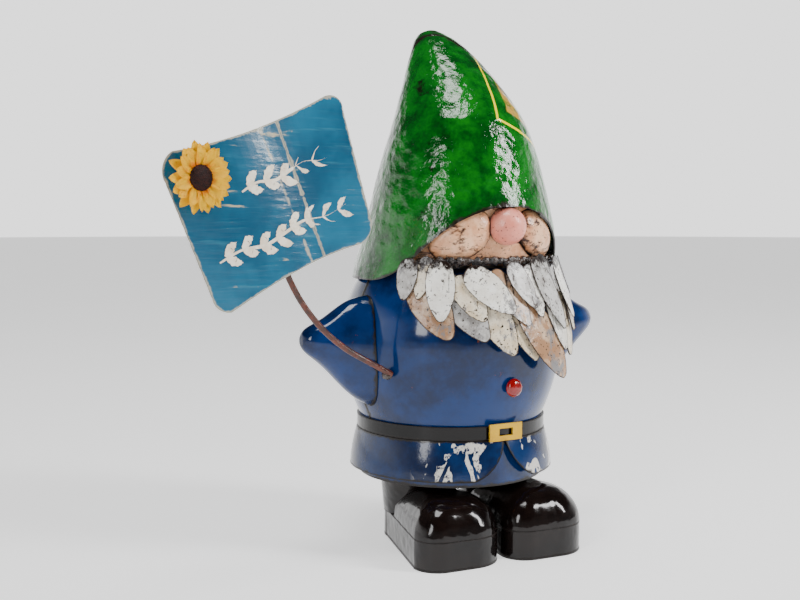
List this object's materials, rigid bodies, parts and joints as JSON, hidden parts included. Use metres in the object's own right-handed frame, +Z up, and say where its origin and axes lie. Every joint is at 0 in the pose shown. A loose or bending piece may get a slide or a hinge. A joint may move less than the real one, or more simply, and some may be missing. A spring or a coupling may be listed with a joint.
{
  "type": "garden gnome",
  "caption": "Free-standing garden gnome of welded, painted sheet steel, with a pointed hat, a beard of leaf plates, boots and a sign plate on a bent rod.",
  "frame": {"origin": "on the ground, under the axis of the round coat", "axes": "+Z up, the gnome faces -Y, its own right hand is at -X"},
  "size_m": [0.4282, 0.2057, 0.4436],
  "materials": {
    "coat_enamel": "gloss enamel with rust chips",
    "belt_enamel": "gloss black enamel",
    "boot_enamel": "gloss black-brown enamel",
    "buckle_enamel": "yellow enamel, speckled",
    "button_enamel": "gloss red enamel",
    "hat_enamel": "gloss green enamel over hammered sheet",
    "skin_enamel": "satin enamel with dark patina",
    "nose_enamel": "satin pink enamel with dark specks",
    "sign_enamel": "brushed satin enamel",
    "rusted_rod": "rusted, lacquered",
    "weld_metal": "burnt weld, lacquered",
    "bare_steel": "dull",
    "petals": "satin, yellow with an orange base",
    "seed_disc": "granular",
    "beard_enamel": "worn cream and grey enamel"
  },
  "bodies": {
    "root": {"coat_front_panel": "coat_enamel", "coat_rear_panel": "coat_enamel", "right_arm": "coat_enamel", "left_arm": "coat_enamel", "coat_skirt": "coat_enamel", "trouser_band": "coat_enamel", "body_floor_plate": "bare_steel", "belt": "belt_enamel", "belt_buckle": "buckle_enamel", "coat_button": "button_enamel", "hat_front_panel": "hat_enamel", "hat_rear_panel": "hat_enamel", "face_plate": "skin_enamel", "right_cheek": "skin_enamel", "left_cheek": "skin_enamel", "nose": "nose_enamel", "sign_plate": "sign_enamel", "sign_rod": "rusted_rod", "rod_weld_beads": "weld_metal", "sunflower_outer_petals": "petals", "sunflower_inner_petals": "petals", "sunflower_disc": "seed_disc", "sunflower_stub": "seed_disc", "beard_weld_beads": "weld_metal", "right_boot_sole": "boot_enamel", "right_boot_side_band": "boot_enamel", "right_boot_toe_cap": "boot_enamel", "right_boot_shaft": "boot_enamel", "left_boot_sole": "boot_enamel", "left_boot_side_band": "boot_enamel", "left_boot_toe_cap": "boot_enamel", "left_boot_shaft": "boot_enamel", "beard_leaf_01": "beard_enamel", "beard_leaf_02": "beard_enamel", "beard_leaf_03": "beard_enamel", "beard_leaf_04": "beard_enamel", "beard_leaf_05": "beard_enamel", "beard_leaf_06": "beard_enamel", "beard_leaf_07": "beard_enamel", "beard_leaf_08": "beard_enamel", "beard_leaf_09": "beard_enamel", "beard_leaf_10": "beard_enamel", "beard_leaf_11": "beard_enamel", "beard_leaf_12": "beard_enamel", "beard_leaf_13": "beard_enamel", "beard_leaf_14": "beard_enamel", "beard_leaf_15": "beard_enamel", "beard_leaf_16": "beard_enamel", "beard_leaf_17": "beard_enamel", "beard_leaf_18": "beard_enamel", "beard_leaf_19": "beard_enamel", "beard_leaf_20": "beard_enamel", "beard_leaf_21": "beard_enamel", "beard_leaf_22": "beard_enamel", "beard_leaf_23": "beard_enamel"}
  },
  "joints": []
}
